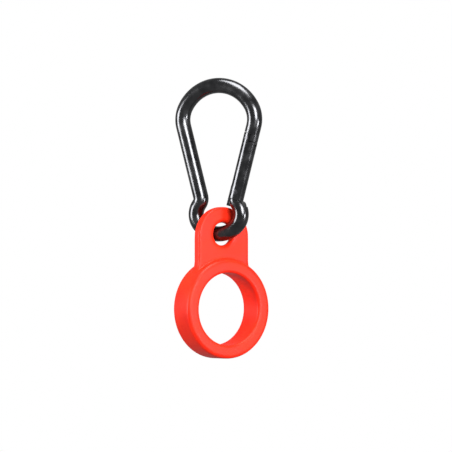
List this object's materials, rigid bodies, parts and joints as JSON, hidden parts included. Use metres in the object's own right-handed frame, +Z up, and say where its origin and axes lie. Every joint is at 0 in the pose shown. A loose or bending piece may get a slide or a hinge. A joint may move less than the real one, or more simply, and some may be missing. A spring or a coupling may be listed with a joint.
{
  "type": "carabiner bottle holder",
  "caption": "Silicone ring with a tab that grips a bottle's neck and hangs on a gourd-shaped snap hook with a sprung gate.",
  "frame": {"origin": "inside of the hook's crown on its centre plane, where the hook hangs on a strap or loop", "axes": "+Z up, +X towards the gate, the hook lies in the XZ plane"},
  "size_m": [0.034, 0.0352, 0.1028],
  "materials": {
    "hook_metal": "dark gunmetal, satin with bright edges",
    "pin_steel": "ground",
    "spring_steel": "drawn wire",
    "silicone": "satin red-orange silicone"
  },
  "bodies": {
    "hook": {"hook_body": "hook_metal"},
    "gate": {"gate": "hook_metal", "pivot_rivet": "pin_steel", "latch_pin": "pin_steel", "return_spring": "spring_steel"},
    "push_pin": {"push_pin": "pin_steel"},
    "holder": {"bottle_holder": "silicone"}
  },
  "joints": [
    {"name": "gate_hinge", "type": "hinge", "parent": "hook", "child": "gate", "pos_m": [0.00752, 0, -0.03628], "axis": [0, -1, 0], "range_deg": [0, 53], "stiffness_Nm_per_rad": 0.006, "springref_deg": -34.38},
    {"name": "push_pin_slide", "type": "slide", "parent": "gate", "child": "push_pin", "axis": [0.2545, 0, 0.9671], "range_m": [0, 0.0013], "deforming": ["return_spring"]},
    {"name": "holder_swing", "type": "hinge", "parent": "hook", "child": "holder", "pos_m": [0.0011, 0, -0.05164], "axis": [0.8415, -0.5402, 0], "range_deg": [-90, 75]}
  ],
  "couplings": [
    {"joint": "push_pin_slide", "follows": "gate_hinge", "m_per_rad": 0.00137}
  ]
}
